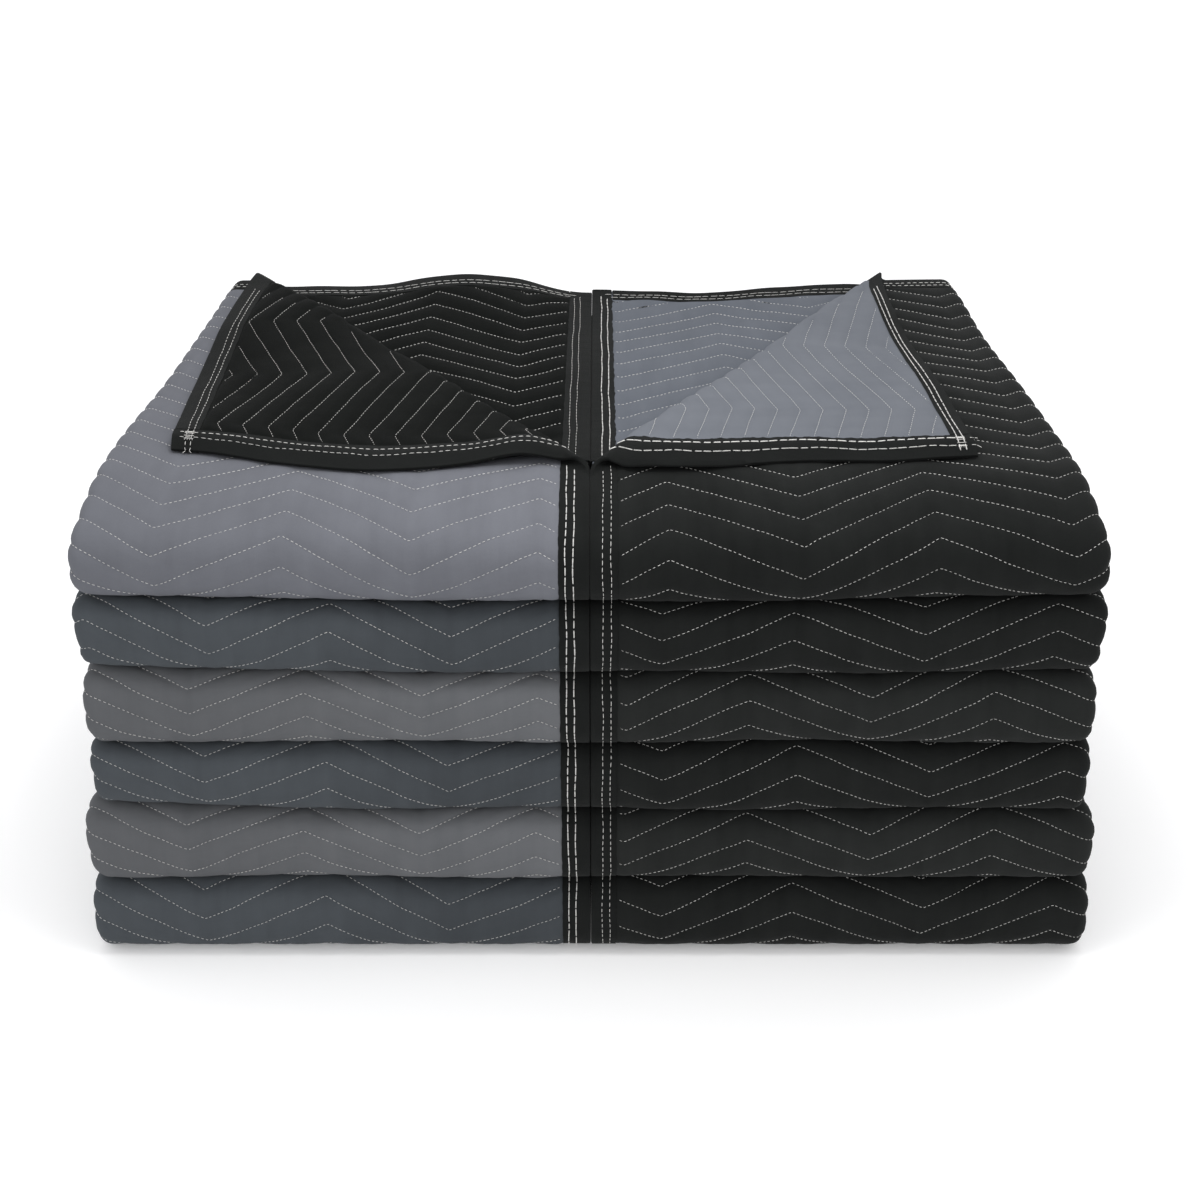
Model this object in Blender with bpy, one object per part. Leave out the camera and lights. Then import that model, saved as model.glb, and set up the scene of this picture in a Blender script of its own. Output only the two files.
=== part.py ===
"""Twelve quilted moving blankets, folded alike and stacked in two columns of six.

Each blanket is one quilted pad. It is folded in half twice across, which puts four sheets
on one another, and these four are then folded in three from front to back. So a blanket is
one four-sheet section, carried along a path: over the top, down round the front fold, back
underneath, up round the back fold and in through the middle.

Metres, +Z up. The fronts of the blankets face -Y, and the two columns meet at x = 0.
"""
import math

import bmesh
import bpy
from mathutils import Matrix, Vector

# The stack
LEVELS = 6
DEPTH = 0.650
BLANKET_GAP = 0.0005
COLUMN_GAP = 0.0007
TOP_COLUMN_GAP = 0.0044

# From the bottom up: a blanket's width at the front, its height with the gap above it, and
# how much narrower its back is
LEVEL_SHAPES = (
    # (width, height, share lost to the back)
    (0.5460, 0.0960, 0.045),
    (0.5370, 0.0925, 0.055),
    (0.5220, 0.0860, 0.055),
    (0.5150, 0.0855, 0.060),
    (0.5140, 0.0800, 0.070),
    (0.5080, 0.1025, 0.100),
)

# One blanket: the share of a four-sheet ply that one sheet is thick, and the room between
# plies, inside the front bends and beyond the ply's inner end
SHEET_SHARE = 0.2
PLY_GAP = 0.0015
BEND_ROOM = 0.0021
INNER_END_ROOM = 0.0050

# The top blankets' long shoulder, over which their top runs down to the front fold
SHOULDER_RADIUS = 0.2500
SHOULDER_ANGLE = math.radians(24.0)

# Quilting: zigzag stitch lines across the blanket, pressed into the pad
ROW_PITCH = 0.0310
HALF_WAVE = 0.1280
WAVE_HEIGHT = 0.0190
QUILT_DEPTH = 0.0014
FIRST_ROW = 0.0560
FRONT_ROWS = 8
TOP_FRONT_ROWS = 12
ZIGZAG_FADE = 4.0

# Binding: a tape folded over the pad's edge
TAPE_WIDTH = 0.0280
TAPE_SLOPE = 0.0035
TAPE_WALL = 0.0009
TAPE_CLEAR = 0.0004
EDGE_CLEAR = 0.0014
BOUND_HALF = 0.0012

# The turned-back corner of each top blanket
FOLD_RADIUS = 0.0050
FOLD_STEPS = 5
SHOWN_MARGIN = 0.0300
HIDDEN_MARGIN = 0.0120
CUT_MARGIN = 0.0002

# How finely turns are cut, and the angle under which faces count as one flat face
OUTER_TURN_STEPS = 3
BACK_TURN_STEPS = 4
FLAT_ANGLE = math.radians(0.3)

# Each column: the way it lies from the seam, where the zigzag of a blanket's top sheet and
# of its second sheet first turns, and, on its top blanket, where the turned corner's crease
# meets the back edge (x) and the seam (y) and where the corner comes to lie.
SIDES = (
    {"name": "left", "sign": -1.0, "apex": 0.050, "under_apex": 0.096,
     "crease_back": 0.434, "crease_front": -0.184, "corner": (0.430, -0.152)},
    {"name": "right", "sign": 1.0, "apex": 0.084, "under_apex": 0.100,
     "crease_back": 0.392, "crease_front": -0.190, "corner": (0.408, -0.156)},
)

FRONT = -DEPTH / 2.0
BACK = DEPTH / 2.0


class Blanket:
    """The sizes of one folded blanket, and where a point of it lies in the stack."""

    def __init__(self, side, level):
        self.side = side
        self.level = level
        self.is_top = level == LEVELS - 1
        self.width, height, self.taper = LEVEL_SHAPES[level]
        self.height = height - BLANKET_GAP
        self.base = sum(shape[1] for shape in LEVEL_SHAPES[:level])
        self.ply = (self.height - 2.0 * PLY_GAP) / 3.0
        self.sheet = self.ply * SHEET_SHARE
        self.pitch = (self.ply - self.sheet) / 3.0
        self.seam = (TOP_COLUMN_GAP if self.is_top else COLUMN_GAP) / 2.0
        self.edge = self.seam + TAPE_WALL + EDGE_CLEAR
        self.turn_x = self.width - 1.5 * self.pitch - self.sheet / 2.0
        self.front_rows = TOP_FRONT_ROWS if self.is_top else FRONT_ROWS
        self.lay_path()

    def lay_path(self):
        """Work out the path's pieces: straight runs, and bends round to the left."""
        quarter = math.pi / 2.0
        bend = self.ply + BEND_ROOM
        back_bend = self.ply + PLY_GAP / 2.0
        slant = SHOULDER_ANGLE if self.is_top else 0.0
        shoulder = (SHOULDER_RADIUS - bend) * math.sin(slant) + bend
        drop = SHOULDER_RADIUS * (1.0 - math.cos(slant)) + bend * math.cos(slant)
        runs = (
            # (bend's radius or None, length or angle turned)
            (None, DEPTH - shoulder),
            (SHOULDER_RADIUS, slant),
            (bend, quarter - slant),
            (None, self.height - drop - bend),
            (bend, quarter),
            (None, DEPTH - bend - back_bend),
            (back_bend, math.pi),
            (None, DEPTH - back_bend - shoulder - INNER_END_ROOM),
        )
        self.path = []
        y, z, heading, u = BACK, self.height, math.pi, 0.0
        for radius, amount in runs:
            self.path.append({"start": u, "y": y, "z": z, "heading": heading, "radius": radius})
            if radius is None:
                y += math.cos(heading) * amount
                z += math.sin(heading) * amount
                u += amount
            else:
                y += radius * (math.sin(heading + amount) - math.sin(heading))
                z -= radius * (math.cos(heading + amount) - math.cos(heading))
                heading += amount
                u += radius * amount
        self.flat_top = self.path[1]["start"]
        self.front_end = self.path[5]["start"]
        self.back_start = self.path[6]["start"]
        self.back_end = self.path[7]["start"]
        self.length = u

    def level_of(self, sheet):
        """How far out a sheet's middle lies: 0 is the top sheet, 3 the innermost."""
        return self.ply - self.sheet / 2.0 - sheet * self.pitch

    def profile(self, u, s):
        """Point of the front-to-back path: u along its outer face, s out from its inner face."""
        inset = self.ply - s
        run = self.path[0]
        for later in self.path[1:]:
            if u >= later["start"]:
                run = later
        along = u - run["start"]
        heading = run["heading"]
        if run["radius"] is None:
            y = run["y"] + math.cos(heading) * along
            z = run["z"] + math.sin(heading) * along
        else:
            turned = heading + along / run["radius"]
            y = run["y"] + run["radius"] * (math.sin(turned) - math.sin(heading))
            z = run["z"] - run["radius"] * (math.cos(turned) - math.cos(heading))
            heading = turned
        return y - math.sin(heading) * inset, z + math.cos(heading) * inset

    def place(self, x, u, s):
        """Point of the stack for x out from the seam, u along the path and s out of the ply."""
        y, z = self.profile(u, s)
        narrowed = 1.0 - self.taper * (y - FRONT) / DEPTH
        return Vector((self.side["sign"] * x * narrowed, y, self.base + z))

    def wave(self, x, sheet):
        """How far a zigzag stitch line of a sheet has moved along the path at x."""
        apex = self.side["apex"] if sheet == 0 else self.side["under_apex"]
        first = -1.0 if sheet == 0 else 1.0
        x = max(x, TAPE_WIDTH)
        t = (x - apex) / HALF_WAVE
        cell = math.floor(t)
        share = t - cell
        start = first if cell % 2 == 0 else -first
        return WAVE_HEIGHT * start * (1.0 - 2.0 * share)

    def beyond_crease(self, x, y):
        """How far a point of the top lies beyond the turned corner's crease."""
        crease = Vector((self.side["crease_back"], BACK - self.side["crease_front"]))
        offset = Vector((x, y - self.side["crease_front"]))
        return (offset.y * crease.x - offset.x * crease.y) / crease.length

    def under_corner(self, x, y):
        """True where the corner, once turned back, covers the top sheet."""
        reach_x, reach_y = self.side["corner"]
        back = self.side["crease_back"]
        if x > reach_x - HIDDEN_MARGIN or self.beyond_crease(x, y) > 0.0:
            return False
        front = self.side["crease_front"]
        edge_y = front + (reach_y - front) * x / reach_x + HIDDEN_MARGIN
        return y > edge_y and x < back

    def apexes(self, sheet):
        """The x places where a sheet's zigzag turns, between its binding and its outer turn."""
        apex = self.side["apex"] if sheet == 0 else self.side["under_apex"]
        places = []
        for step in range(-1, 5):
            x = apex + step * HALF_WAVE
            if TAPE_WIDTH + 2.0 * TAPE_SLOPE < x < self.turn_x - 0.012:
                places.append(x)
        return places


def arc_stations(centre, level, radius, start, end, facing=1.0, steps=2):
    """Section stations round a turn; facing is +1 where the sheet's upper side is outside."""
    stations = []
    for step in range(steps + 1):
        angle = start + (end - start) * step / steps
        nx, ns = math.cos(angle), math.sin(angle)
        stations.append({"x": centre + radius * nx, "s": level + radius * ns,
                         "nx": nx * facing, "ns": ns * facing, "sheet": None})
    return stations


def free_sheet(blanket, sheet, facing):
    """Stations of one of the two sheets with a bound edge, from that edge outwards."""
    places = [blanket.edge, TAPE_WIDTH, TAPE_WIDTH + TAPE_SLOPE] + blanket.apexes(sheet)
    if blanket.is_top:
        places.append(blanket.turn_x - TAPE_SLOPE)
    return [{"x": x, "s": blanket.level_of(sheet), "nx": 0.0, "ns": facing, "sheet": sheet}
            for x in places]


def section(blanket):
    """The four sheets as one back-and-forth line, from the top sheet's bound edge inwards."""
    quarter = math.pi / 2.0
    seam_turn = blanket.seam + blanket.pitch / 2.0 + blanket.sheet / 2.0
    stations = free_sheet(blanket, 0, 1.0)
    # Round the outer side, from the top sheet to the innermost one
    stations += arc_stations(blanket.turn_x, blanket.level_of(1.5), 1.5 * blanket.pitch,
                             quarter, -quarter, steps=OUTER_TURN_STEPS)
    # Back to the seam, where the innermost sheet turns into the third
    stations += arc_stations(seam_turn, blanket.level_of(2.5), blanket.pitch / 2.0,
                             -quarter, -3.0 * quarter)
    # Out again, round inside the first turn and back along the second sheet
    stations += arc_stations(blanket.turn_x, blanket.level_of(1.5), blanket.pitch / 2.0,
                             -quarter, quarter, facing=-1.0)
    stations += reversed(free_sheet(blanket, 1, -1.0))
    return stations


def path_rows(blanket):
    """Places along the path: u, whether the quilting is pressed in there, and its zigzag."""
    rows = [{"u": 0.0, "pressed": False, "zigzag": 0.0}]
    if blanket.is_top:
        for u in (TAPE_WIDTH, TAPE_WIDTH + TAPE_SLOPE):
            rows.append({"u": u, "pressed": False, "zigzag": 0.0})
        count = round((blanket.flat_top - FIRST_ROW) / ROW_PITCH) * 2
        step = (blanket.flat_top - FIRST_ROW) / count
        for number in range(count):
            rows.append({"u": FIRST_ROW + number * step, "pressed": number % 2 == 1,
                         "zigzag": min(1.0, (count - number) / ZIGZAG_FADE)})
    # Round the front, where the zigzag fades towards the seams above and below
    front_length = blanket.front_end - blanket.flat_top
    for number in range(blanket.front_rows + 1):
        share = number / blanket.front_rows
        rows.append({"u": blanket.flat_top + front_length * share,
                     "pressed": number % 2 == 1, "zigzag": math.sin(math.pi * share)})
    back_length = blanket.back_end - blanket.back_start
    for step in range(BACK_TURN_STEPS + 1):
        rows.append({"u": blanket.back_start + back_length * step / BACK_TURN_STEPS,
                     "pressed": False, "zigzag": 0.0})
    rows.append({"u": blanket.length, "pressed": False, "zigzag": 0.0})
    return rows


def sheet_points(blanket, station, row):
    """The two points of the sheet, on its upper and its lower side, at a station and row."""
    sheet = station["sheet"]
    x = station["x"]
    middle = blanket.sheet / 2.0
    if sheet is None:
        halves, places = (middle, middle), (row["u"], row["u"])
    else:
        in_end_tape = blanket.is_top and row["u"] < TAPE_WIDTH + TAPE_SLOPE / 2.0
        bound = in_end_tape or x < TAPE_WIDTH + TAPE_SLOPE / 2.0
        quilted = TAPE_WIDTH < x < blanket.turn_x - 2.0 * TAPE_SLOPE and row["pressed"]
        moved = row["u"] + row["zigzag"] * blanket.wave(x, sheet)
        on_top = blanket.is_top and row["u"] < blanket.flat_top - SHOWN_MARGIN
        beyond = blanket.beyond_crease(x, BACK - moved)
        opened = on_top and beyond > -HIDDEN_MARGIN
        outer = BOUND_HALF if bound else middle
        if sheet == 0:
            covered = on_top and (beyond > HIDDEN_MARGIN
                                  or blanket.under_corner(x, BACK - moved))
            if quilted and not covered:
                outer -= QUILT_DEPTH
            inner = middle - (QUILT_DEPTH if quilted and opened else 0.0)
            halves, places = (outer, inner), (moved, moved if on_top else row["u"])
        else:
            if not blanket.is_top:
                outer = middle
            if quilted and opened:
                outer -= QUILT_DEPTH
            place = moved if on_top else row["u"]
            halves, places = (middle, outer), (place, place)
    points = []
    for half, u, way in zip(halves, places, (1.0, -1.0)):
        points.append(blanket.place(x + way * half * station["nx"], u,
                                    station["s"] + way * half * station["ns"]))
    return points


def swept(rings):
    """A closed body from rings of points: side faces, and a flat end on the first and last."""
    bm = bmesh.new()
    loops = [[bm.verts.new(point) for point in ring] for ring in rings]
    for near, far in zip(loops, loops[1:]):
        for index in range(len(near)):
            after = (index + 1) % len(near)
            bm.faces.new((near[index], near[after], far[after], far[index]))
    for loop in (loops[0], loops[-1]):
        half = len(loop) // 2
        for index in range(half - 1):
            bm.faces.new((loop[index], loop[index + 1], loop[-index - 2], loop[-index - 1]))
    return bm


def blanket_body(blanket):
    """The whole folded pad."""
    stations = section(blanket)
    rings = []
    for row in path_rows(blanket):
        pairs = [sheet_points(blanket, station, row) for station in stations]
        rings.append([pair[0] for pair in pairs] + [pair[1] for pair in reversed(pairs)])
    return swept(rings)


def tape_section(blanket, sheet, near):
    """The folded tape about a sheet's edge: distance in from the edge, height, and side."""
    far = TAPE_WIDTH - TAPE_CLEAR
    web = near + TAPE_WALL
    level = blanket.level_of(sheet)
    over = level + BOUND_HALF + TAPE_CLEAR
    under = level - blanket.sheet / 2.0 - TAPE_CLEAR
    return [(far, over + TAPE_WALL, 1), (near, over + TAPE_WALL, 1),
            (near, under - TAPE_WALL, 0), (far, under - TAPE_WALL, 0),
            (far, under, 0), (web, under, 0), (web, over, 1), (far, over, 1)]


def side_tape(blanket, sheet, last=None):
    """The tape on the edge of a sheet beside the seam."""
    outline = tape_section(blanket, sheet, blanket.seam)
    rings = []
    if last is not None:
        for u in (0.0, last):
            rings.append([blanket.place(x, u, s) for x, s, outer in outline])
        return swept(rings)
    for row in path_rows(blanket):
        u = row["u"]
        if 0.0 < u < blanket.flat_top:
            continue
        moved = row["zigzag"] * blanket.wave(TAPE_WIDTH, sheet)
        rings.append([blanket.place(x, u + outer * moved, s) for x, s, outer in outline])
    return swept(rings)


def end_tape(blanket, sheet):
    """The tape on the back edge of one of the top two sheets."""
    outline = tape_section(blanket, sheet, -EDGE_CLEAR - TAPE_WALL)
    rings = []
    for x in (TAPE_WIDTH + TAPE_CLEAR, blanket.turn_x - 2.0 * TAPE_SLOPE):
        rings.append([blanket.place(x, u, s) for u, s, outer in outline])
    return swept(rings)


def on_bend(turned, height):
    """Place across and above the crease of a point on the bend, which is cut into flats."""
    whole = math.floor(turned)
    share = turned - whole
    ends = []
    for step in (whole, whole + 1):
        angle = math.pi * step / FOLD_STEPS
        ends.append(Vector(((FOLD_RADIUS - height) * math.sin(angle),
                            FOLD_RADIUS - (FOLD_RADIUS - height) * math.cos(angle))))
    return ends[0].lerp(ends[1], share)


def turn_corner_back(bm, blanket):
    """Fold the top sheet's back corner over, along a slanting crease, onto the sheet itself."""
    side = blanket.side
    sign = side["sign"]
    crease_back = Vector((sign * side["crease_back"], BACK))
    crease_front = Vector((0.0, side["crease_front"]))
    along = (crease_back - crease_front).normalized()
    # Away from the crease, towards the corner that is turned
    across = Vector((-along.y, along.x)) * sign
    middle = blanket.base + blanket.height - blanket.sheet / 2.0
    lowest = middle - blanket.sheet / 2.0 - TAPE_CLEAR - TAPE_WALL - CUT_MARGIN
    bend = FOLD_RADIUS * math.pi

    # How the corner lies after a plain fold, and where it is pulled to from there
    corner = Vector((0.0, BACK)) - crease_front
    plain = Vector((corner.dot(along), bend - corner.dot(across)))
    laid = Vector((sign * side["corner"][0], side["corner"][1])) - crease_front
    laid = Vector((laid.dot(along), laid.dot(across)))
    stretch = laid.y / plain.y
    shear = (laid.x - plain.x) / laid.y

    for step in range(FOLD_STEPS + 1):
        start = crease_front + across * (bend * step / FOLD_STEPS)
        faces = [face for face in bm.faces if all(vert.co.z > lowest for vert in face.verts)]
        edges = {edge for face in faces for edge in face.edges}
        verts = {vert for face in faces for vert in face.verts}
        bmesh.ops.bisect_plane(bm, geom=faces + list(edges) + list(verts), dist=1e-6,
                               plane_co=(start.x, start.y, 0.0),
                               plane_no=(across.x, across.y, 0.0))

    for vert in bm.verts:
        offset = vert.co.xy - crease_front
        beyond = offset.dot(across)
        if vert.co.z < lowest or beyond <= 0.0:
            continue
        forward = offset.dot(along)
        height = vert.co.z - middle
        if beyond < bend:
            beyond, rise = on_bend(beyond / bend * FOLD_STEPS, height)
        else:
            beyond = (bend - beyond) * stretch
            forward += shear * beyond
            rise = 2.0 * FOLD_RADIUS - height
        place = crease_front + along * forward + across * beyond
        vert.co = Vector((place.x, place.y, middle + rise))


def material(name, colour):
    """A plain cloth material of one colour."""
    made = bpy.data.materials.new(name)
    made.use_nodes = True
    shader = made.node_tree.nodes["Principled BSDF"]
    shader.inputs["Base Color"].default_value = (*colour, 1.0)
    shader.inputs["Roughness"].default_value = 0.9
    made.diffuse_color = (*colour, 1.0)
    return made


def finish(bm, name, cloth, group):
    """Merge flat areas, point the faces outwards and put the body in the scene."""
    bmesh.ops.recalc_face_normals(bm, faces=bm.faces)
    bm.normal_update()
    bmesh.ops.dissolve_limit(bm, angle_limit=FLAT_ANGLE, verts=bm.verts, edges=bm.edges)
    bmesh.ops.triangulate(bm, faces=bm.faces)
    if bm.calc_volume(signed=True) < 0.0:
        bmesh.ops.reverse_faces(bm, faces=bm.faces)
    mesh = bpy.data.meshes.new(name)
    bm.to_mesh(mesh)
    bm.free()
    mesh.materials.append(cloth)
    group.objects.link(bpy.data.objects.new(name, mesh))


def stand_on_origin(group):
    """Put the middle of the stack's foot at the origin."""
    meshes = [thing.data for thing in group.objects]
    corners = [vert.co for mesh in meshes for vert in mesh.vertices]
    middle = []
    for axis in (0, 1):
        along = [corner[axis] for corner in corners]
        middle.append((min(along) + max(along)) / 2.0)
    lowest = min(corner.z for corner in corners)
    for mesh in meshes:
        mesh.transform(Matrix.Translation((-middle[0], -middle[1], -lowest)))


def main():
    for thing in list(bpy.data.objects):
        bpy.data.objects.remove(thing)
    group = bpy.data.collections.new("stack_of_moving_blankets")
    bpy.context.scene.collection.children.link(group)
    pads = {"left": material("grey_pad", (0.075, 0.085, 0.10)),
            "right": material("black_pad", (0.012, 0.013, 0.014))}
    tape = material("binding_tape", (0.008, 0.008, 0.009))

    for side in SIDES:
        for level in range(LEVELS):
            blanket = Blanket(side, level)
            label = f"{side['name']}_{level + 1}"
            body = blanket_body(blanket)
            edge = side_tape(blanket, 0)
            if blanket.is_top:
                end = end_tape(blanket, 0)
                for turned in (body, edge, end):
                    turn_corner_back(turned, blanket)
                finish(end, f"end_binding_{label}", tape, group)
                shown = blanket.flat_top - SHOWN_MARGIN
                finish(side_tape(blanket, 1, last=shown), f"inner_binding_{label}", tape, group)
                finish(end_tape(blanket, 1), f"inner_end_binding_{label}", tape, group)
            finish(body, f"blanket_{label}", pads[side["name"]], group)
            finish(edge, f"side_binding_{label}", tape, group)
    stand_on_origin(group)


main()
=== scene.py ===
"""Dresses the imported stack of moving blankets: quilted pads, binding tape, stitches, light.

A blanket is one quilted sheet, folded in four across and then in three from front to back.
A place on it is given by w, the distance across the sheet from its bound edge at the seam, and
u, the distance along it from its back edge. Metres, +Z up, fronts towards -Y.
"""
import math

import bmesh
import bpy
import numpy as np
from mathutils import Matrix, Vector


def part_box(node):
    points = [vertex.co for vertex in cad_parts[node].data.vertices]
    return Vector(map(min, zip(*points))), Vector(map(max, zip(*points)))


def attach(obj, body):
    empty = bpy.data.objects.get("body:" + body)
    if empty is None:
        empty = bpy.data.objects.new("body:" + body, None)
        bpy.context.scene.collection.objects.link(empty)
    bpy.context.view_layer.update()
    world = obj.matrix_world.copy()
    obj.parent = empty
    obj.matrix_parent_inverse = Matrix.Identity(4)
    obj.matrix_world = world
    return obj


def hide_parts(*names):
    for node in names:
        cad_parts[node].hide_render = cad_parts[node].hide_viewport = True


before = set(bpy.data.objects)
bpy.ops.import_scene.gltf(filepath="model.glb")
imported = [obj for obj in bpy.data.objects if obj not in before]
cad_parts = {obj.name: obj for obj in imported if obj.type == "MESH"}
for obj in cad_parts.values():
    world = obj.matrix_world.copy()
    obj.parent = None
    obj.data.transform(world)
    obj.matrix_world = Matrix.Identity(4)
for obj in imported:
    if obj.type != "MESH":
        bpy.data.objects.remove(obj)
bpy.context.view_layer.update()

# The stack, from the frame
LEVELS = 6
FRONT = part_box("blanket_left_1")[0].y
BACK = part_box("blanket_left_1")[1].y
DEPTH = BACK - FRONT
BASES = [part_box(f"blanket_left_{level + 1}")[0].z for level in range(LEVELS)]

# Sizes that the solids share with these pieces
TAPERS = (0.045, 0.055, 0.055, 0.060, 0.070, 0.100)
BLANKET_GAP = 0.0005
TOP_HEIGHT = 0.1020
SEAM = 0.00035
TOP_SEAM = 0.0001
SHEET_SHARE = 0.2
PLY_GAP = 0.0015
BEND_ROOM = 0.0021
INNER_END_ROOM = 0.0050

# The turned corner's fold: fuller at the crease than the height at which the corner lies
FOLD_RADIUS = 0.0070
LAID_RADIUS = 0.0045
LAID_REACH = 0.1500

# How the turned corner's bound front edge hangs down: how far in, bent how tightly and far
HANG_REACH = 0.0200
HANG_RADIUS = 0.0120
HANG_ANGLE = math.radians(36.0)
HANG_PLACES = (0.0060, 0.0095, 0.0130, 0.0165, 0.0200)

# The top blankets' long shoulder, over which their top runs down to the front fold
SHOULDER_RADIUS = 0.250
SHOULDER_ANGLE = math.radians(24.0)

# Binding tape
TAPE_WALL = 0.0008
TAPE_CLEAR = 0.0003
EDGE_CLEAR = 0.0014
BOUND_HALF = 0.0013
BOUND_FADE = 0.0090

# Quilting
BEND_SLACK = 0.0560
WAVE_FADE = 0.0850
QUILT_DEPTH = 0.0017
QUILT_PUFF = 0.0005
ROW_SHARES = (0.0, 0.08, 0.20, 0.36, 0.64, 0.80, 0.92)
COLUMNS_A_WAVE = 18

# Stitches: length, how far apart they start, and thickness
STITCH = {"length": 0.0034, "period": 0.0050, "radius": 0.00030}
BOLD_STITCH = {"length": 0.0096, "period": 0.0101, "radius": 0.00062}
TAPE_STITCH = {"length": 0.0056, "period": 0.0074, "radius": 0.00036}
FINE_STITCH = {"length": 0.0092, "period": 0.0101, "radius": 0.00026}

# How far apart a sewn line's points are, and how far in from the edge its loose ends leave it
LINE_STEP = 0.002
CURL_HOLD = 0.002

# Each side's zigzags, from the bottom blanket up, and that of the top blanket's second sheet
SIDES = (
    {"name": "left", "sign": -1.0,
     # first turn's x, -1 where it turns up, half wave, row pitch, first row, lean
     "zigzag": ((0.0219, -1.0, 0.1325, 0.0360, 0.0052, -0.070),
                (0.0580, -1.0, 0.1229, 0.0290, 0.0165, -0.010),
                (0.0216, -1.0, 0.1258, 0.0323, 0.0063, -0.050),
                (0.0531, -1.0, 0.1176, 0.0270, 0.0055, -0.010),
                (0.0171, -1.0, 0.1203, 0.0325, 0.0117, -0.035),
                (0.0500, -1.0, 0.1243, 0.0335, 0.0040, -0.060)),
     "second": (0.0884, 1.0, 0.1228, 0.0355, 0.0069, 0.0),
     "tape": 0.0305, "tape_rows": (0.0158, 0.0236),
     "crease_back": 0.430, "crease_front": -0.228, "corner": (0.425, -0.184)},
    {"name": "right", "sign": 1.0,
     "zigzag": ((0.0765, 1.0, 0.1420, 0.0348, 0.0072, -0.035),
                (0.0354, 1.0, 0.1302, 0.0318, 0.0234, -0.040),
                (0.0750, 1.0, 0.1387, 0.0330, 0.0063, -0.027),
                (0.0371, 1.0, 0.1239, 0.0300, 0.0271, -0.040),
                (0.0715, 1.0, 0.1302, 0.0293, 0.0227, -0.015),
                (0.0772, -1.0, 0.1307, 0.0335, 0.0109, -0.080)),
     "second": (0.0354, 1.0, 0.1280, 0.0355, 0.0006, 0.0),
     "tape": 0.0275, "tape_rows": (0.0128, 0.0210),
     "crease_back": 0.372, "crease_front": -0.232, "corner": (0.391, -0.199)},
)
LEAN_MIDDLE = 0.25

# How much higher each seam lies at the outer end than at the middle, from the floor up
SEAM_RISE = {
    "left": (0.0, 0.0, 0.009, 0.0, 0.009, 0.009, 0.004),
    "right": (0.0, 0.0, 0.0, 0.0, 0.002, 0.009, 0.004),
}


def smooth(t):
    """Rises smoothly from 0 to 1 as t does."""
    t = np.clip(t, 0.0, 1.0)
    return t * t * (3.0 - 2.0 * t)


def hump(t):
    """1 at t = 0, falling smoothly to nothing at -1 and 1."""
    return smooth(1.0 - np.abs(t))


def ripple(t, seed):
    """A wandering line, about 1 high, made of a few waves of unlike lengths."""
    return (np.sin(t * 1.0 + seed * 2.1) + 0.6 * np.sin(t * 2.3 + seed * 4.7)
            + 0.4 * np.sin(t * 4.1 + seed * 1.3)) / 1.6


def settle(points):
    """Lets the whole stack sag and swell a little, the same for all that lies at a place."""
    x, y, z = points[:, 0], points[:, 1], points[:, 2]
    seams = BASES + [BASES[-1] + TOP_HEIGHT]
    out = np.abs(x) / 0.5
    towards_front = 0.35 + 0.65 * smooth((0.25 - y) / 0.5)
    rise = np.where(x < 0.0, np.interp(z, seams, SEAM_RISE["left"]),
                    np.interp(z, seams, SEAM_RISE["right"]))
    lift = rise * np.clip(out, 0.0, 1.15) ** 2.4 * towards_front
    off_floor = smooth(z / 0.09)
    lift += off_floor * 0.0009 * np.sin(x * 17.0 + z * 21.0 + y * 5.0)
    top_share = smooth((z - BASES[-1] - 0.040) / 0.045)
    inside = smooth((0.56 - np.abs(x)) / 0.12) * smooth((BACK - y) / 0.15 + 0.1)
    lift += top_share * inside * (0.0022 * np.sin(x * 19.0 + y * 7.0 + 1.0)
                                  + 0.0016 * np.sin(y * 23.0 - x * 11.0))
    near_front = smooth((FRONT + 0.07 - y) / 0.06)
    forward = near_front * off_floor * 0.0016 * np.sin(x * 13.0 + z * 33.0 + 2.0)
    near_side = smooth((np.abs(x) - 0.40) / 0.10)
    sideways = near_side * off_floor * 0.0020 * np.sin(y * 15.0 + z * 41.0)
    return np.stack([x + np.sign(x) * sideways, y + forward, z + lift], axis=1)


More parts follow.
